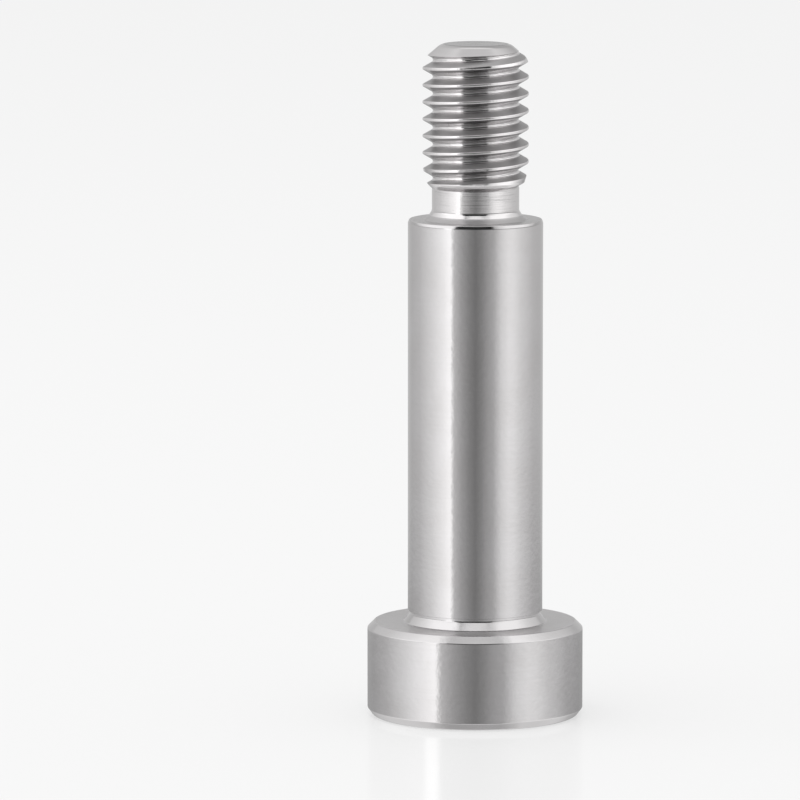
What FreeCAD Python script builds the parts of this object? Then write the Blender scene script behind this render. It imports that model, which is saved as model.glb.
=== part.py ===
import FreeCAD, Part
import math
import os

# Shoulder bolt, millimetres and degrees. It stands on its head: the socket
# end of the head is at z = 0, the shoulder rises above it and the threaded
# end points up. It is turned from one bar, so it is one solid.

# Head
head_diameter = 16.0
head_height = 7.0
head_end_chamfer = 0.6
head_rim_chamfer = 0.5

# Hexagon socket in the end of the head
socket_across_flats = 5.0
socket_depth = 4.2
socket_mouth_diameter = 6.3
socket_mouth_angle = 45.0

# Ground shoulder, the bearing surface for the part that turns on it
shoulder_diameter = 10.0
shoulder_length = 30.0
shoulder_chamfer = 0.2

# Relief groove at the foot of the shoulder, so the mating part seats flat
relief_length = 0.85
relief_depth = 0.18
relief_fillet = 0.4

# Neck between the end of the shoulder and the thread
neck_diameter = 6.45
neck_length = 2.05
neck_fillet = 0.35
neck_taper_angle = 26.5

# Right-hand thread, from the end of the shoulder to the tip
thread_diameter = 7.85
thread_pitch = 1.25
thread_crest_width = 0.156
thread_root_width = 0.22
thread_flank_angle = 30.0
thread_runout = 1.5
thread_start_turn = 91.0
threaded_end_length = 13.0
tip_diameter = 5.1
tip_chamfer_angle = 45.0

# Radii and heights that follow from the sizes above
head_radius = head_diameter / 2
shoulder_radius = shoulder_diameter / 2
relief_radius = shoulder_radius - relief_depth
neck_radius = neck_diameter / 2
thread_radius = thread_diameter / 2
tip_radius = tip_diameter / 2
relief_top = head_height + relief_length
shoulder_top = head_height + shoulder_length
neck_top = shoulder_top + neck_length
tip_height = shoulder_top + threaded_end_length

axis_foot = FreeCAD.Vector(0, 0, 0)
axis_up = FreeCAD.Vector(0, 0, 1)


def outline_point(radius, height):
    """A point of the half section, in the plane through +X and the axis."""
    return FreeCAD.Vector(radius, 0, height)


def outline_run(points):
    """Straight edges from point to point."""
    return [Part.makeLine(start, end) for start, end in zip(points, points[1:])]


def corner_fillet(radius, height, fillet):
    """The concave quarter round from a flat face at this height to a wall at this radius."""
    # With these handles a cubic curve follows a quarter circle.
    handle = fillet * 4 / 3 * (math.sqrt(2) - 1)
    low = outline_point(radius + fillet, height)
    high = outline_point(radius, height + fillet)
    curve = Part.BezierCurve()
    curve.setPoles([
        low,
        outline_point(radius + fillet - handle, height),
        outline_point(radius, height + fillet - handle),
        high,
    ])
    return low, high, curve.toShape()


def turned_blank():
    """Head, relief, shoulder, neck and plain threaded end, as one revolve."""
    relief_low, relief_high, relief_round = corner_fillet(relief_radius, head_height, relief_fillet)
    neck_low, neck_high, neck_round = corner_fillet(neck_radius, shoulder_top, neck_fillet)
    taper = (thread_radius - neck_radius) / math.tan(math.radians(neck_taper_angle))
    tip_chamfer = (thread_radius - tip_radius) / math.tan(math.radians(tip_chamfer_angle))
    head = outline_run([
        outline_point(0, 0),
        outline_point(head_radius - head_end_chamfer, 0),
        outline_point(head_radius, head_end_chamfer),
        outline_point(head_radius, head_height - head_rim_chamfer),
        outline_point(head_radius - head_rim_chamfer, head_height),
        relief_low,
    ])
    shoulder = outline_run([
        relief_high,
        outline_point(relief_radius, relief_top),
        outline_point(shoulder_radius, relief_top),
        outline_point(shoulder_radius, shoulder_top - shoulder_chamfer),
        outline_point(shoulder_radius - shoulder_chamfer, shoulder_top),
        neck_low,
    ])
    threaded_end = outline_run([
        neck_high,
        outline_point(neck_radius, neck_top),
        outline_point(thread_radius, neck_top + taper),
        outline_point(thread_radius, tip_height - tip_chamfer),
        outline_point(tip_radius, tip_height),
        outline_point(0, tip_height),
        outline_point(0, 0),
    ])
    outline = Part.Wire(head + [relief_round] + shoulder + [neck_round] + threaded_end)
    return Part.Face(outline).revolve(axis_foot, axis_up, 360)


def hexagon_socket():
    """Hexagon prism with a flat floor and a countersunk mouth."""
    corner_radius = socket_across_flats / 2 / math.cos(math.radians(30))
    corners = []
    for corner in range(7):
        turn = math.radians(60 * corner + 30)
        corners.append(FreeCAD.Vector(corner_radius * math.cos(turn), corner_radius * math.sin(turn), 0))
    prism = Part.Face(Part.makePolygon(corners)).extrude(FreeCAD.Vector(0, 0, socket_depth))
    mouth_radius = socket_mouth_diameter / 2
    mouth = Part.makeCone(mouth_radius, 0, mouth_radius / math.tan(math.radians(socket_mouth_angle)))
    return prism.fuse(mouth)


def groove_section(height):
    """The thread's V groove with its flat root, in the plane of the half section."""
    half_root = thread_root_width / 2
    half_mouth = (thread_pitch - thread_crest_width) / 2
    flank_slope = math.tan(math.radians(thread_flank_angle))
    root = thread_radius - (half_mouth - half_root) / flank_slope
    # The section runs on past the crest, by less than half of the crest's width
    # on each side, so that it cuts through and the next turn stays clear of it.
    overrun = thread_crest_width / 4
    outside = thread_radius + overrun / flank_slope
    low_outside = outline_point(outside, height - half_mouth - overrun)
    low_root = outline_point(root, height - half_root)
    high_root = outline_point(root, height + half_root)
    high_outside = outline_point(outside, height + half_mouth + overrun)
    return Part.Wire(outline_run([low_outside, low_root, high_root, high_outside, low_outside]))


def one_groove_turn(height):
    """One full right-hand turn of the groove, whose section starts at this height."""
    helix = Part.makeHelix(thread_pitch, thread_pitch, thread_radius)
    helix.translate(FreeCAD.Vector(0, 0, height))
    turn = Part.Wire(helix).makePipeShell([groove_section(height)], True, True)
    turn.rotate(axis_foot, axis_up, thread_start_turn)
    return turn


def cut_thread(bolt):
    """Cut the groove turn by turn, as a threading tool does, and out at the tip."""
    groove_start = shoulder_top + thread_runout
    turns = math.ceil((tip_height + thread_pitch / 2 - groove_start) / thread_pitch)
    groove_turn = one_groove_turn(groove_start)
    for turn in range(turns):
        bolt = bolt.cut(groove_turn.translated(FreeCAD.Vector(0, 0, turn * thread_pitch)))
    return bolt


os.makedirs("parts", exist_ok=True)
socketed_blank = turned_blank().cut(hexagon_socket())
shoulder_bolt = cut_thread(socketed_blank)
shoulder_bolt.exportStep("parts/shoulder_bolt.step")
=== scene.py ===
import math

import bpy
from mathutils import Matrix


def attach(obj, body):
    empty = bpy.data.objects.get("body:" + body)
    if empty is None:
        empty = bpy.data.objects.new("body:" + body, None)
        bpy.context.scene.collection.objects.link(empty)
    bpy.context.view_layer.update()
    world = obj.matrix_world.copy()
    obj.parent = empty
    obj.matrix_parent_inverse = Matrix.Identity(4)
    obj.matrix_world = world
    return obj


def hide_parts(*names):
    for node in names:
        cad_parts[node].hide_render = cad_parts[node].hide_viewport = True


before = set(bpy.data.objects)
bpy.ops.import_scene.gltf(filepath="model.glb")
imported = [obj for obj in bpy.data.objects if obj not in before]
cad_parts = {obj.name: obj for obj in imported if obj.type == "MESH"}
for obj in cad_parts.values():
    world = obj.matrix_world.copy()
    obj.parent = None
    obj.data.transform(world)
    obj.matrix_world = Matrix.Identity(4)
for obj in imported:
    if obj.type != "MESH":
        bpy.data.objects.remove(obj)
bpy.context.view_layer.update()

# The bolt stands on its head, its axis is the Z axis, and lengths are in metres.
MM = 0.001

# Head, shoulder and the relief groove between them
HEAD_RADIUS = 8.0 * MM
HEAD_HEIGHT = 7.0 * MM
HEAD_RIM_CHAMFER = 0.5 * MM
HEAD_END_CHAMFER_OUT = 0.42 * MM
HEAD_END_CHAMFER_UP = 0.55 * MM
SHOULDER_RADIUS = 5.0 * MM
SHOULDER_TOP = 37.0 * MM
SHOULDER_EDGE_OUT = 0.09 * MM
SHOULDER_EDGE_UP = 0.24 * MM
RELIEF_RADIUS = 4.82 * MM
RELIEF_TOP = 7.85 * MM
RELIEF_FOOT_OUT = 0.46 * MM
RELIEF_FOOT_UP = 0.62 * MM

# Neck, with a foot that steepens at its bend
NECK_RADIUS = 3.225 * MM
NECK_TOP = 39.35 * MM
NECK_FOOT_OUT = 0.62 * MM
NECK_FOOT_UP = 0.66 * MM
NECK_BEND_OUT = 0.25 * MM
NECK_BEND_UP = 0.28 * MM

# Threaded end, from its taper at the neck to its chamfered tip
THREAD_RADIUS = 3.925 * MM
THREAD_PITCH = 1.25 * MM
THREAD_START = 39.2 * MM
TAPER_START_RADIUS = NECK_RADIUS - 0.125 * MM
TAPER_MIDDLE_RADIUS = 3.6 * MM
TAPER_MIDDLE = 39.68 * MM
TAPER_END = 40.8 * MM
TIP_CHAMFER_FOOT = 48.82 * MM
TIP_RADIUS = 2.55 * MM
BOLT_HEIGHT = 50.0 * MM

# The wound tooth: where its first root lies, and half the widths of root and crest
FIRST_ROOT = 36.0 * MM
FIRST_ROOT_TURN = 91
TOOTH_TURNS = 13
HALF_ROOT = 0.11 * MM
HALF_CREST = 0.078 * MM
ROOT_ROUND = 0.1 * MM
CREST_ROUND = 0.045 * MM

# Hexagon socket in the end of the head
SOCKET_FLATS = 5.0 * MM
SOCKET_DEPTH = 4.2 * MM
SOCKET_MOUTH_RADIUS = 3.15 * MM
SOCKET_FLOOR_ROUND = 0.12 * MM

# Cutting shapes reach this far past what they cut
CLEAR = 1.0 * MM
# Points nearer than this are one point
SAME_PLACE = 0.001 * MM

TURNING_STEPS = 192
THREADING_STEPS = 96


def deselect_all():
    bpy.ops.object.select_all(action="DESELECT")


def edit(piece):
    """Only this piece is selected, in edit mode, with nothing in it selected."""
    deselect_all()
    piece.select_set(True)
    bpy.context.view_layer.objects.active = piece
    bpy.ops.object.mode_set(mode="EDIT")
    bpy.ops.mesh.select_mode(type="VERT")
    bpy.ops.mesh.select_all(action="DESELECT")


def leave_edit():
    bpy.ops.object.mode_set(mode="OBJECT")


def pick_vertices(piece, wanted):
    """Select the vertices whose place fits, and go on in edit mode."""
    edit(piece)
    leave_edit()
    for vertex in piece.data.vertices:
        vertex.select = bool(wanted(vertex.co))
    bpy.ops.object.mode_set(mode="EDIT")


def pick_faces(piece, wanted):
    """Select the faces whose centre and normal fit, and go on in edit mode."""
    edit(piece)
    bpy.ops.mesh.select_mode(type="FACE")
    leave_edit()
    for face in piece.data.polygons:
        face.select = bool(wanted(face.center, face.normal))
    bpy.ops.object.mode_set(mode="EDIT")


def draw_outline(name, points):
    """An open line drawn point by point in the plane of +X and the axis."""
    deselect_all()
    bpy.ops.mesh.primitive_plane_add(size=MM)
    piece = bpy.context.object
    piece.name = name
    piece.data.name = name
    bpy.ops.object.mode_set(mode="EDIT")
    bpy.ops.mesh.select_mode(type="VERT")
    bpy.ops.mesh.select_all(action="SELECT")
    bpy.ops.mesh.merge(type="CENTER")
    bpy.ops.transform.translate(value=(points[0][0], 0, points[0][1]))
    for start, end in zip(points, points[1:]):
        step = (end[0] - start[0], 0, end[1] - start[1])
        bpy.ops.mesh.extrude_region_move(TRANSFORM_OT_translate={"value": step})
    leave_edit()
    return piece


def near(place, point):
    reach = 2 * SAME_PLACE
    return abs(place.x - point[0]) < reach and abs(place.z - point[1]) < reach


def round_corner(piece, point, reach, segments):
    """Round one corner of an outline; reach is how far from it the round starts."""
    pick_vertices(piece, lambda place: near(place, point))
    bpy.ops.mesh.bevel(offset=reach, segments=segments, affect="VERTICES")
    leave_edit()


def spin_round(piece, steps):
    """Turn an outline about the axis into a closed shape that faces outwards."""
    edit(piece)
    bpy.ops.mesh.select_all(action="SELECT")
    bpy.ops.mesh.spin(steps=steps, angle=2 * math.pi, center=(0, 0, 0), axis=(0, 0, 1))
    bpy.ops.mesh.select_all(action="SELECT")
    bpy.ops.mesh.remove_doubles(threshold=SAME_PLACE)
    bpy.ops.mesh.normals_make_consistent(inside=False)
    leave_edit()


def apply_modifier(piece, modifier):
    deselect_all()
    piece.select_set(True)
    bpy.context.view_layer.objects.active = piece
    bpy.ops.object.modifier_apply(modifier=modifier.name)


def combine(piece, other, operation):
    """Cut away, keep or join the other shape, and clear it away."""
    deselect_all()
    piece.select_set(True)
    bpy.context.view_layer.objects.active = piece
    bpy.ops.object.modifier_add(type="BOOLEAN")
    modifier = piece.modifiers[-1]
    modifier.operation = operation
    modifier.solver = "MANIFOLD"
    modifier.object = other
    apply_modifier(piece, modifier)
    deselect_all()
    other.select_set(True)
    bpy.ops.object.delete()


def turn_blank():
    """Head, relief, shoulder and neck, turned from one outline."""
    head_end_edge = (HEAD_RADIUS - HEAD_END_CHAMFER_OUT, 0)
    head_end_side = (HEAD_RADIUS, HEAD_END_CHAMFER_UP)
    head_rim_side = (HEAD_RADIUS, HEAD_HEIGHT - HEAD_RIM_CHAMFER)
    head_rim_edge = (HEAD_RADIUS - HEAD_RIM_CHAMFER, HEAD_HEIGHT)
    relief_toe = (RELIEF_RADIUS + RELIEF_FOOT_OUT, HEAD_HEIGHT)
    relief_foot = (RELIEF_RADIUS, HEAD_HEIGHT + RELIEF_FOOT_UP)
    relief_edge = (SHOULDER_RADIUS, RELIEF_TOP)
    shoulder_side = (SHOULDER_RADIUS, SHOULDER_TOP - SHOULDER_EDGE_UP)
    shoulder_edge = (SHOULDER_RADIUS - SHOULDER_EDGE_OUT, SHOULDER_TOP)
    neck_toe = (NECK_RADIUS + NECK_FOOT_OUT, SHOULDER_TOP)
    neck_bend = (NECK_RADIUS + NECK_BEND_OUT, SHOULDER_TOP + NECK_BEND_UP)
    neck_foot = (NECK_RADIUS, SHOULDER_TOP + NECK_FOOT_UP)
    # The neck's end lies inside the threaded end, which is joined on later.
    neck_end = (NECK_RADIUS - 0.12 * MM, NECK_TOP + 0.25 * MM)
    blank = draw_outline("turned_bolt", [
        (0, 0),
        head_end_edge,
        head_end_side,
        head_rim_side,
        head_rim_edge,
        relief_toe,
        relief_foot,
        (RELIEF_RADIUS, RELIEF_TOP),
        relief_edge,
        shoulder_side,
        shoulder_edge,
        neck_toe,
        neck_bend,
        neck_foot,
        (NECK_RADIUS, NECK_TOP),
        neck_end,
        (0, neck_end[1]),
    ])
    for corner in (neck_foot, neck_bend):
        round_corner(blank, corner, 0.12 * MM, 5)
    for corner in (relief_foot, relief_toe, neck_toe):
        round_corner(blank, corner, 0.07 * MM, 4)
    round_corner(blank, head_end_edge, 0.15 * MM, 4)
    for edge in (head_end_side, head_rim_side, head_rim_edge):
        round_corner(blank, edge, 0.05 * MM, 3)
    round_corner(blank, relief_edge, 0.03 * MM, 3)
    for edge in (shoulder_side, shoulder_edge):
        round_corner(blank, edge, 0.05 * MM, 3)
    spin_round(blank, TURNING_STEPS)
    return blank


def threaded_end():
    """The wound thread, turned down to a taper at the neck and a chamfer at the tip."""
    taper_middle = (TAPER_MIDDLE_RADIUS, TAPER_MIDDLE)
    taper_end = (THREAD_RADIUS, TAPER_END)
    tip_side = (THREAD_RADIUS, TIP_CHAMFER_FOOT)
    tip_edge = (TIP_RADIUS, BOLT_HEIGHT)
    form = draw_outline("threaded_end", [
        (0, THREAD_START),
        (TAPER_START_RADIUS, THREAD_START),
        taper_middle,
        taper_end,
        tip_side,
        tip_edge,
        (0, BOLT_HEIGHT),
    ])
    round_corner(form, taper_middle, 0.15 * MM, 3)
    round_corner(form, taper_end, 0.5 * MM, 4)
    round_corner(form, tip_side, 0.42 * MM, 6)
    round_corner(form, tip_edge, 0.32 * MM, 6)
    spin_round(form, TURNING_STEPS)
    combine(form, wound_thread(), "INTERSECT")
    return form


def wound_thread():
    """One tooth with its round root and crest, wound up the axis and cut off level."""
    slope = math.tan(math.radians(30))
    root_out = THREAD_RADIUS - (THREAD_PITCH / 2 - HALF_CREST - HALF_ROOT) / slope
    start = FIRST_ROOT
    middle = start + THREAD_PITCH / 2
    corners = [
        (root_out, start + HALF_ROOT),
        (THREAD_RADIUS, middle - HALF_CREST),
        (THREAD_RADIUS, middle + HALF_CREST),
        (root_out, start + THREAD_PITCH - HALF_ROOT),
    ]
    thread = draw_outline(
        "wound_thread", [(root_out, start), *corners, (root_out, start + THREAD_PITCH)]
    )
    for corner, reach in zip(corners, (ROOT_ROUND, CREST_ROUND, CREST_ROUND, ROOT_ROUND)):
        round_corner(thread, corner, reach, 4)
    edit(thread)
    bpy.ops.mesh.select_all(action="SELECT")
    bpy.ops.transform.rotate(
        value=-math.radians(FIRST_ROOT_TURN), orient_axis="Z", center_override=(0, 0, 0)
    )
    leave_edit()
    bpy.ops.object.modifier_add(type="SCREW")
    screw = thread.modifiers[-1]
    screw.axis = "Z"
    screw.screw_offset = THREAD_PITCH
    screw.iterations = TOOTH_TURNS
    screw.steps = THREADING_STEPS
    screw.render_steps = THREADING_STEPS
    apply_modifier(thread, screw)
    edit(thread)
    bpy.ops.mesh.select_all(action="SELECT")
    bpy.ops.mesh.remove_doubles(threshold=SAME_PLACE)
    for level, direction in ((THREAD_START - CLEAR, -1), (BOLT_HEIGHT + CLEAR / 2, 1)):
        bpy.ops.mesh.select_all(action="SELECT")
        bpy.ops.mesh.bisect(
            plane_co=(0, 0, level), plane_no=(0, 0, direction),
            use_fill=True, clear_outer=True, threshold=0.00001 * MM,
        )
    bpy.ops.mesh.select_all(action="SELECT")
    bpy.ops.mesh.normals_make_consistent(inside=False)
    leave_edit()
    return thread


def socket_prism():
    """The hexagon with its flat floor, as a cutting shape."""
    deselect_all()
    corner_radius = SOCKET_FLATS / 2 / math.cos(math.radians(30))
    bpy.ops.mesh.primitive_cylinder_add(
        vertices=6, radius=corner_radius, depth=SOCKET_DEPTH + CLEAR,
        location=(0, 0, (SOCKET_DEPTH - CLEAR) / 2), rotation=(0, 0, math.radians(30)),
    )
    prism = bpy.context.object
    bpy.ops.object.transform_apply(location=True, rotation=True, scale=True)
    # The floor's edge has a small round, as a punch leaves it.
    pick_faces(prism, lambda centre, normal: normal.z > 0.9)
    bpy.ops.mesh.bevel(offset=SOCKET_FLOOR_ROUND, segments=2, affect="EDGES")
    leave_edit()
    return prism


def socket_mouth():
    """The countersink round the hexagon, as a cutting shape."""
    outer = SOCKET_MOUTH_RADIUS + CLEAR
    mouth = draw_outline("mouth", [(0, SOCKET_MOUTH_RADIUS), (outer, -CLEAR), (0, -CLEAR)])
    spin_round(mouth, TURNING_STEPS)
    return mouth


def resize(piece, factor):
    deselect_all()
    piece.select_set(True)
    bpy.context.view_layer.objects.active = piece
    piece.scale = (factor, factor, factor)
    bpy.ops.object.transform_apply(location=False, rotation=False, scale=True)


def finish_shading(piece):
    """Large faces stay flat and only the small rounds between them shade round. The
    areas are weighed with the bolt a thousand times larger, where they aren't tiny."""
    resize(piece, 1000)
    bpy.ops.object.shade_smooth_by_angle(angle=math.radians(32))
    bpy.ops.object.modifier_add(type="WEIGHTED_NORMAL")
    modifier = piece.modifiers[-1]
    modifier.keep_sharp = True
    apply_modifier(piece, modifier)
    resize(piece, 0.001)


bolt = turn_blank()
combine(bolt, socket_prism(), "DIFFERENCE")
combine(bolt, socket_mouth(), "DIFFERENCE")
combine(bolt, threaded_end(), "UNION")
finish_shading(bolt)


def new_material(name):
    material = bpy.data.materials.new(name)
    material.use_nodes = True
    material.node_tree.nodes.clear()
    return material, material.node_tree


def add_node(tree, kind, **settings):
    node = tree.nodes.new(kind)
    for setting, value in settings.items():
        setattr(node, setting, value)
    return node


def calculate(tree, operation, first, second=None):
    """One sum on two values, each a number or another node's output."""
    node = add_node(tree, "ShaderNodeMath", operation=operation)
    for socket, value in zip(node.inputs, (first, second)):
        if value is None:
            continue
        if isinstance(value, (int, float)):
            socket.default_value = value
        else:
            tree.links.new(value, socket)
    return node.outputs["Value"]


def spread(tree, value, low, high, to_low, to_high):
    node = add_node(tree, "ShaderNodeMapRange")
    node.inputs["From Min"].default_value = low
    node.inputs["From Max"].default_value = high
    node.inputs["To Min"].default_value = to_low
    node.inputs["To Max"].default_value = to_high
    tree.links.new(value, node.inputs["Value"])
    return node.outputs["Result"]


def noise(tree, vector, scale, detail):
    node = add_node(tree, "ShaderNodeTexNoise")
    node.inputs["Scale"].default_value = scale
    node.inputs["Detail"].default_value = detail
    tree.links.new(vector, node.inputs["Vector"])
    return node.outputs["Fac"]


def split_place(tree, place):
    node = add_node(tree, "ShaderNodeSeparateXYZ")
    tree.links.new(place, node.inputs["Vector"])
    return node.outputs


def tinted(grey, tint):
    return (*(grey * part for part in tint), 1)


# The steel is a little warm, in fine rings and patches of two tints.
WARM_TINT = (0.965, 0.942, 0.943)
BRIGHT_TINT = (1.045, 1.026, 1.034)
RINGS_ON_FACES = 1.37
RING_WANDER = 0.02
PATCHES_PER_METRE = 260
SPECKS_PER_METRE = 2400

# How far faces point up, as the height of a normal of length 1
LEVEL = 0.995
NECK_FOOT_SLOPE = 0.62
FLANK_LOW = 0.8
FLANK_HIGH = 0.93
TIP_SLOPE = 0.55
TIP_FACE_SLOPE = 0.96


def steel(
    name, grey, roughness, ring_width, ring_depth, unevenness, stretch, coat=0.0
):
    """Stainless steel off the lathe: fine rings round the axis, slightly uneven, with
    faint patches of handling. ring_width, ring_depth and unevenness are in mm."""
    material, tree = new_material(name)
    place = add_node(tree, "ShaderNodeTexCoord").outputs["Object"]
    x, y, z = split_place(tree, place)
    out = calculate(tree, "SQRT", calculate(
        tree, "ADD", calculate(tree, "MULTIPLY", x, x), calculate(tree, "MULTIPLY", y, y)
    ))
    # The tool's path, so the rings follow walls, faces and chamfers alike.
    path = calculate(tree, "ADD", z, calculate(tree, "MULTIPLY", out, RINGS_ON_FACES))
    ring_place = add_node(tree, "ShaderNodeCombineXYZ")
    tree.links.new(calculate(tree, "MULTIPLY", x, RING_WANDER), ring_place.inputs["X"])
    tree.links.new(calculate(tree, "MULTIPLY", y, RING_WANDER), ring_place.inputs["Y"])
    tree.links.new(path, ring_place.inputs["Z"])
    rings = noise(tree, ring_place.outputs["Vector"], 1 / (ring_width * MM), 3)
    patches = noise(tree, place, PATCHES_PER_METRE, 4)
    specks = noise(tree, place, SPECKS_PER_METRE, 3)

    shader = add_node(tree, "ShaderNodeBsdfPrincipled")
    shader.inputs["Metallic"].default_value = 1.0
    shader.inputs["Anisotropic"].default_value = stretch
    shader.inputs["Anisotropic Rotation"].default_value = 0.25
    shader.inputs["Coat Weight"].default_value = coat
    shader.inputs["Coat Roughness"].default_value = 0.12

    tone = calculate(tree, "ADD", calculate(tree, "MULTIPLY", rings, 0.25), patches)
    colour = add_node(tree, "ShaderNodeMix", data_type="RGBA")
    colour.inputs["A"].default_value = tinted(grey, WARM_TINT)
    colour.inputs["B"].default_value = tinted(grey, BRIGHT_TINT)
    tree.links.new(spread(tree, tone, 0.42, 0.82, 0, 1), colour.inputs["Factor"])
    tree.links.new(colour.outputs["Result"], shader.inputs["Base Color"])
    wear = calculate(tree, "ADD", specks, patches)
    rough = spread(tree, wear, 0.7, 1.3, roughness * 0.85, roughness * 1.15)
    tree.links.new(rough, shader.inputs["Roughness"])

    ring_relief = calculate(tree, "MULTIPLY", rings, ring_depth)
    speck_relief = calculate(tree, "MULTIPLY", specks, unevenness)
    bump = add_node(tree, "ShaderNodeBump")
    bump.inputs["Strength"].default_value = 1.0
    bump.inputs["Distance"].default_value = MM
    tree.links.new(calculate(tree, "ADD", ring_relief, speck_relief), bump.inputs["Height"])
    tree.links.new(bump.outputs["Normal"], shader.inputs["Normal"])
    round_axis = add_node(tree, "ShaderNodeTangent", direction_type="RADIAL", axis="Z")
    tree.links.new(round_axis.outputs["Tangent"], shader.inputs["Tangent"])

    output = add_node(tree, "ShaderNodeOutputMaterial")
    tree.links.new(shader.outputs["BSDF"], output.inputs["Surface"])
    return material


def finish_faces(piece, material, wanted):
    """Give one finish to the faces picked by their centre and normal."""
    piece.data.materials.append(material)
    pick_faces(piece, wanted)
    piece.active_material_index = len(piece.data.materials) - 1
    bpy.ops.object.material_slot_assign()
    leave_edit()


def distance_out(centre):
    return math.hypot(centre.x, centre.y)


def everywhere(centre, normal):
    return True


def on_shoulder(centre, normal):
    relief_foot = RELIEF_RADIUS + RELIEF_FOOT_OUT + 0.05 * MM
    return HEAD_HEIGHT < centre.z < SHOULDER_TOP and distance_out(centre) < relief_foot


def on_bearing_face(centre, normal):
    return normal.z > LEVEL and abs(centre.z - HEAD_HEIGHT) < 0.01 * MM


def on_shoulder_end(centre, normal):
    """The end face and the satin foot of the neck in its middle."""
    at_end = SHOULDER_TOP - 0.01 * MM < centre.z < SHOULDER_TOP + NECK_FOOT_UP
    return at_end and normal.z > NECK_FOOT_SLOPE


def on_neck_and_thread(centre, normal):
    return centre.z > SHOULDER_TOP


def on_neck(centre, normal):
    on_its_length = SHOULDER_TOP + 0.3 * MM < centre.z < THREAD_START + 1.0 * MM
    return on_its_length and distance_out(centre) < NECK_RADIUS + 0.4 * MM


def on_upper_flanks(centre, normal):
    outside_tip = distance_out(centre) > TIP_RADIUS + 0.4 * MM
    return outside_tip and centre.z > NECK_TOP and FLANK_LOW < normal.z < FLANK_HIGH


def on_lower_flanks(centre, normal):
    return centre.z > NECK_TOP and FLANK_LOW < -normal.z < FLANK_HIGH


def on_tip(centre, normal):
    faces_up = normal.z > TIP_SLOPE and not on_upper_flanks(centre, normal)
    return faces_up and centre.z > TIP_CHAMFER_FOOT


def on_tip_face(centre, normal):
    return normal.z > TIP_FACE_SLOPE and on_tip(centre, normal)


def in_socket(centre, normal):
    inside = 0.001 * MM < centre.z < SOCKET_DEPTH + 0.1 * MM
    return inside and distance_out(centre) < SOCKET_MOUTH_RADIUS


# A later finish covers an earlier one where both fit.
bolt.data.materials.clear()
finish_faces(bolt, steel(
    "turned_steel", grey=0.62, roughness=0.13,
    ring_width=0.12, ring_depth=0.0004, unevenness=0.007, stretch=0.8,
), everywhere)
finish_faces(bolt, steel(
    "ground_steel", grey=0.62, roughness=0.13,
    ring_width=0.06, ring_depth=0.0002, unevenness=0.007, stretch=0.8,
), on_shoulder)
finish_faces(bolt, steel(
    "threaded_steel", grey=0.79, roughness=0.11,
    ring_width=0.25, ring_depth=0.02, unevenness=0.014, stretch=0.2,
), on_neck_and_thread)
finish_faces(bolt, steel(
    "neck_steel", grey=0.73, roughness=0.13,
    ring_width=0.3, ring_depth=0.04, unevenness=0.008, stretch=0.2,
), on_neck)
finish_faces(bolt, steel(
    "bearing_face_steel", grey=0.66, roughness=0.42,
    ring_width=0.12, ring_depth=0.001, unevenness=0.002, stretch=0.3, coat=0.2,
), on_bearing_face)
finish_faces(bolt, steel(
    "shoulder_end_steel", grey=0.52, roughness=0.4,
    ring_width=0.12, ring_depth=0.001, unevenness=0.002, stretch=0.3, coat=0.5,
), on_shoulder_end)
# Painted shade: the flanks get darker steel than the crest and root, standing for the shade in
# the thread's grooves, and the upper flanks are darker than the lower
finish_faces(bolt, steel(
    "shaded_upper_flank_steel", grey=0.44, roughness=0.36,
    ring_width=0.12, ring_depth=0.006, unevenness=0.003, stretch=0.2,
), on_upper_flanks)
finish_faces(bolt, steel(
    "shaded_lower_flank_steel", grey=0.5, roughness=0.14,
    ring_width=0.12, ring_depth=0.004, unevenness=0.008, stretch=0.2,
), on_lower_flanks)
finish_faces(bolt, steel(
    "tip_chamfer_steel", grey=0.66, roughness=0.13,
    ring_width=0.1, ring_depth=0.001, unevenness=0.003, stretch=0.2,
), on_tip)
# Painted shade: the tip's flat face gets much darker steel than its chamfer
finish_faces(bolt, steel(
    "shaded_tip_face_steel", grey=0.41, roughness=0.2,
    ring_width=0.2, ring_depth=0.004, unevenness=0.004, stretch=0.2,
), on_tip_face)
finish_faces(bolt, steel(
    "socket_steel", grey=0.4, roughness=0.38,
    ring_width=0.3, ring_depth=0.004, unevenness=0.004, stretch=0.0,
), in_socket)
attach(bolt, "root")
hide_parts("shoulder_bolt")

# Floor and background
FLOOR_SIZE = 6
FLOOR_WHITE = (0.9, 0.9, 0.9, 1)
FLOOR_TONE = 1.043
FLOOR_TONE_SHARE = 0.55
FLOOR_GLOSS_SHARE = 0.16
BACKGROUND = 0.913
STUDIO_LIGHT = 0.92


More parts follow.
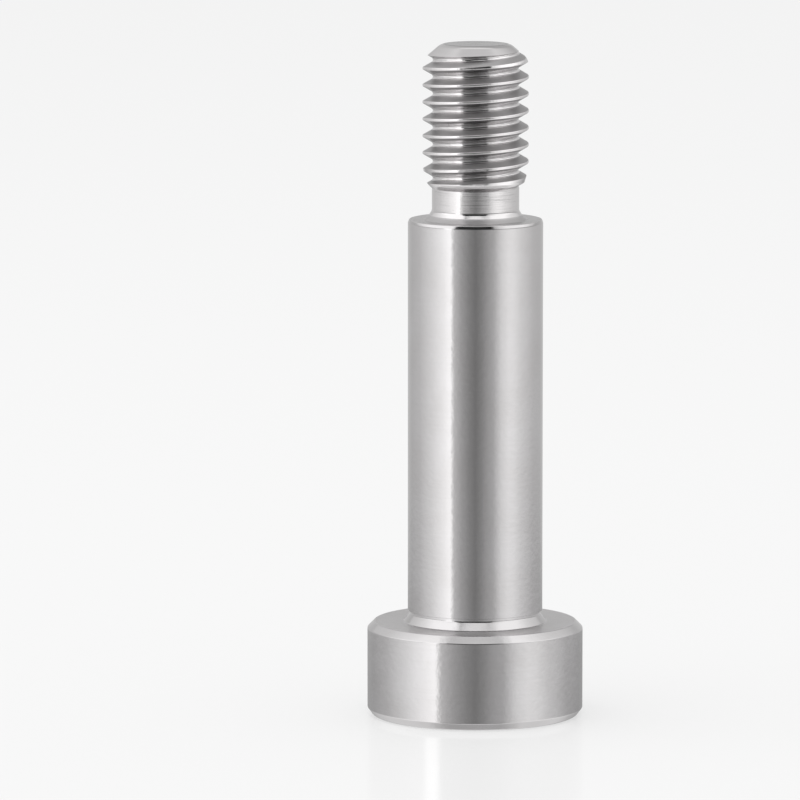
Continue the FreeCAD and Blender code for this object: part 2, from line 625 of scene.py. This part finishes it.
def pale_floor():
    """A matt white floor with a faint gloss. To the camera it is partly a plain tone,
    so that the shadow on it stays faint."""
    deselect_all()
    bpy.ops.mesh.primitive_plane_add(size=FLOOR_SIZE, location=(0, 0, 0))
    floor = bpy.context.object
    floor.name = "floor"
    material, tree = new_material("pale_floor")
    matt = add_node(tree, "ShaderNodeBsdfDiffuse")
    matt.inputs["Color"].default_value = FLOOR_WHITE
    tone = add_node(tree, "ShaderNodeEmission")
    tone.inputs["Strength"].default_value = FLOOR_TONE
    plain = add_node(tree, "ShaderNodeMixShader")
    seen = add_node(tree, "ShaderNodeLightPath").outputs["Is Camera Ray"]
    tree.links.new(calculate(tree, "MULTIPLY", seen, FLOOR_TONE_SHARE), plain.inputs["Fac"])
    tree.links.new(matt.outputs["BSDF"], plain.inputs[1])
    tree.links.new(tone.outputs["Emission"], plain.inputs[2])
    gloss = add_node(tree, "ShaderNodeBsdfGlossy")
    gloss.inputs["Color"].default_value = FLOOR_WHITE
    gloss.inputs["Roughness"].default_value = 0.1
    both = add_node(tree, "ShaderNodeMixShader")
    both.inputs["Fac"].default_value = FLOOR_GLOSS_SHARE
    tree.links.new(plain.outputs["Shader"], both.inputs[1])
    tree.links.new(gloss.outputs["BSDF"], both.inputs[2])
    output = add_node(tree, "ShaderNodeOutputMaterial")
    tree.links.new(both.outputs["Shader"], output.inputs["Surface"])
    floor.data.materials.append(material)
    floor.visible_glossy = False


# Painted reflections: the tent is a glowing ball round the bolt, no lamp, that only shows
# mirrored in the metal and the floor. Its painted light and dark levels go round it in bands.
# The first number of each pair is degrees from the camera's side, right positive, and the
# second is the level.
TENT_RADIUS = 1.3
TENT_CENTRE = 0.025
# Painted reflection of a table's edge, just below level, which the shoulder mirrors.
PAINTED_TABLE_EDGE = [
    (-180, 0.62), (-140, 0.62), (-110, 0.74), (-80, 1.03), (-55, 1.32), (-43, 1.52),
    (-40, 1.05), (-37, 0.75), (-24, 0.5), (-10, 0.32), (0, 0.25), (10, 0.32), (24, 0.52),
    (30, 0.6), (45, 1.0), (58, 1.19), (68, 1.17), (85, 0.96), (115, 0.72), (145, 0.62),
    (180, 0.62),
]
# Lower down, the painted reflection of the table's front, which the head mirrors.
PAINTED_TABLE_FRONT = [
    (-180, 0.4), (-140, 0.42), (-110, 0.55), (-80, 0.85), (-55, 1.3), (-43, 1.5),
    (-40, 1.02), (-37, 0.77), (-24, 0.53), (-10, 0.37), (0, 0.29), (10, 0.41), (17, 0.5),
    (24, 0.54), (30, 0.56), (45, 0.9), (58, 0.99), (68, 0.94), (85, 0.7), (115, 0.46),
    (145, 0.39), (180, 0.38),
]
# Just above level, the painted reflection of the wall's foot, with a bright band on the left,
# which shows in the head's image on the floor.
PAINTED_LOW_WALL = [
    (-180, 0.62), (-140, 0.6), (-110, 0.6), (-80, 0.56), (-58, 0.7), (-52, 1.85),
    (-42, 1.85), (-39, 0.9), (-36, 0.35), (-20, 0.2), (0, 0.12), (24, 0.25), (45, 0.36),
    (68, 0.4), (85, 0.42), (115, 0.5), (145, 0.6), (180, 0.62),
]
# Higher up, the painted reflection of the rest of the wall, dark on the camera's side, which
# the sides of the thread mirror.
PAINTED_WALL = [
    (-180, 0.55), (-165, 0.65), (-150, 0.75), (-133, 0.85), (-112, 1.1), (-92, 1.4),
    (-42, 1.4), (-39, 0.35), (-35, 0.03), (31, 0.03), (36, 0.7), (46, 1.0), (60, 1.3),
    (95, 1.35), (115, 1.0), (133, 0.85), (150, 0.6), (165, 0.5), (180, 0.55),
]
# Painted reflections of the top cloth, brighter at its ends, and of the table top below
PAINTED_TOP_MIDDLE = 0.78
PAINTED_TOP_ENDS = 1.1
PAINTED_TABLE_TOP = 0.9
# Painted shade: straight down, the tent's reflection darkens to stand for the shade under the
# head
PAINTED_TABLE_SHADE = 0.52
# A colour ramp holds values up to 1, so it holds a level as its share of this one.
BRIGHTEST = 2


def levels_round(tree, turn, levels):
    node = add_node(tree, "ShaderNodeValToRGB")
    ramp = node.color_ramp
    ramp.interpolation = "LINEAR"
    while len(ramp.elements) < len(levels):
        ramp.elements.new(0.5)
    for element, (angle, level) in zip(ramp.elements, levels):
        element.position = (angle + 180) / 360
        element.color = (level / BRIGHTEST, level / BRIGHTEST, level / BRIGHTEST, 1)
    tree.links.new(turn, node.inputs["Fac"])
    return calculate(tree, "MULTIPLY", node.outputs["Color"], BRIGHTEST)


def blend_levels(tree, share, first, second):
    node = add_node(tree, "ShaderNodeMix", data_type="FLOAT")
    tree.links.new(share, node.inputs["Factor"])
    for socket, value in (("A", first), ("B", second)):
        if isinstance(value, (int, float)):
            node.inputs[socket].default_value = value
        else:
            tree.links.new(value, node.inputs[socket])
    return node.outputs["Result"]


def tent_levels(tree, place):
    """The painted reflection level at each place on the tent. Heights are shares of its radius.
    """
    turn = add_node(tree, "ShaderNodeMapping")
    turn.inputs["Rotation"].default_value = (0, 0, math.radians(90))
    tree.links.new(place, turn.inputs["Vector"])
    gradient = add_node(tree, "ShaderNodeTexGradient", gradient_type="RADIAL")
    tree.links.new(turn.outputs["Vector"], gradient.inputs["Vector"])
    angle = gradient.outputs["Fac"]
    x, y, z = split_place(tree, place)
    height = calculate(tree, "DIVIDE", calculate(tree, "SUBTRACT", z, TENT_CENTRE), TENT_RADIUS)

    painted_table_edge = levels_round(tree, angle, PAINTED_TABLE_EDGE)
    painted_table_front = levels_round(tree, angle, PAINTED_TABLE_FRONT)
    painted_table_edge = blend_levels(
        tree, spread(tree, height, -0.16, -0.17, 0, 1), painted_table_edge, painted_table_front
    )
    from_edge = calculate(tree, "ABSOLUTE", calculate(tree, "ADD", height, 0.115))
    painted_reflection_wall = levels_round(tree, angle, PAINTED_WALL)
    level = blend_levels(tree, spread(tree, from_edge, 0.1, 0.35, 0, 1), painted_table_edge, painted_reflection_wall)
    from_low_wall = calculate(tree, "ABSOLUTE", calculate(tree, "SUBTRACT", height, 0.16))
    painted_low_wall = levels_round(tree, angle, PAINTED_LOW_WALL)
    level = blend_levels(tree, spread(tree, from_low_wall, 0.08, 0.14, 1, 0), level, painted_low_wall)

    # The painted reflection of the top cloth hangs lower in front and behind than at the sides.
    front_or_back = calculate(tree, "ABSOLUTE", calculate(tree, "DIVIDE", y, TENT_RADIUS))
    top = calculate(tree, "ADD", height, calculate(tree, "MULTIPLY", front_or_back, 0.25))
    painted_cloth = spread(tree, front_or_back, 0.2, 0.4, PAINTED_TOP_MIDDLE, PAINTED_TOP_ENDS)
    level = blend_levels(tree, spread(tree, top, 0.93, 0.985, 0, 1), level, painted_cloth)
    # Below, the painted reflection of the table top
    level = blend_levels(tree, spread(tree, height, -0.5, -0.7, 0, 1), level, PAINTED_TABLE_TOP)
    # Painted shade straight down, under the head
    return blend_levels(tree, spread(tree, height, -0.9, -0.97, 0, 1), level, PAINTED_TABLE_SHADE)


# Painted reflections: the glowing tent is seen neither by the camera nor by diffuse light or
# shadow
def painted_reflection_tent():
    deselect_all()
    bpy.ops.mesh.primitive_uv_sphere_add(
        segments=64, ring_count=32, radius=TENT_RADIUS, location=(0, 0, TENT_CENTRE)
    )
    tent = bpy.context.object
    tent.name = "painted_reflection_tent"
    bpy.ops.object.transform_apply(location=True, rotation=True, scale=True)
    bpy.ops.object.shade_smooth()
    material, tree = new_material("painted_reflection_wall")
    place = add_node(tree, "ShaderNodeTexCoord").outputs["Object"]
    glow = add_node(tree, "ShaderNodeEmission")
    tree.links.new(tent_levels(tree, place), glow.inputs["Strength"])
    output = add_node(tree, "ShaderNodeOutputMaterial")
    tree.links.new(glow.outputs["Emission"], output.inputs["Surface"])
    material.cycles.emission_sampling = "NONE"
    tent.data.materials.append(material)
    tent.visible_camera = False
    tent.visible_diffuse = False
    tent.visible_shadow = False
    tent.visible_transmission = False


def studio_world():
    """Plain soft light all round, and the pale background where it is seen."""
    world = bpy.data.worlds.new("studio")
    bpy.context.scene.world = world
    world.use_nodes = True
    tree = world.node_tree
    tree.nodes.clear()
    path = add_node(tree, "ShaderNodeLightPath")
    seen = calculate(tree, "MAXIMUM", calculate(
        tree, "MAXIMUM", path.outputs["Is Camera Ray"], path.outputs["Is Glossy Ray"]
    ), path.outputs["Is Transmission Ray"])
    glow = add_node(tree, "ShaderNodeBackground")
    glow.inputs["Color"].default_value = (1, 1, 1, 1)
    tree.links.new(spread(tree, seen, 0, 1, STUDIO_LIGHT, BACKGROUND), glow.inputs["Strength"])
    output = add_node(tree, "ShaderNodeOutputWorld")
    tree.links.new(glow.outputs["Background"], output.inputs["Surface"])


def top_light():
    """A wide soft lamp above and to the left, for the faint shadow on the right."""
    deselect_all()
    bpy.ops.object.light_add(
        type="AREA", location=(-0.15, -0.05, 0.6),
        rotation=(math.radians(5), math.radians(-14), 0),
    )
    lamp = bpy.context.object
    lamp.name = "top_light"
    lamp.data.shape = "SQUARE"
    lamp.data.size = 0.5
    lamp.data.energy = 0.8
    lamp.visible_glossy = False


# The camera's place and lens, from where the bolt's edges lie in the photo
CAMERA_PLACE = (-5.58 * MM, -568.74 * MM, 98.83 * MM)
CAMERA_LOOKS_DOWN = 7.543
CAMERA_LENS = 348.43


def photo_camera():
    deselect_all()
    bpy.ops.object.camera_add(
        location=CAMERA_PLACE, rotation=(math.radians(90 - CAMERA_LOOKS_DOWN), 0, 0)
    )
    camera = bpy.context.object
    camera.data.sensor_width = 36
    camera.data.lens = CAMERA_LENS
    camera.data.clip_start = 0.05
    camera.data.clip_end = 20
    bpy.context.scene.camera = camera


pale_floor()
painted_reflection_tent()
studio_world()
top_light()
photo_camera()
bpy.context.scene.view_settings.view_transform = "Standard"
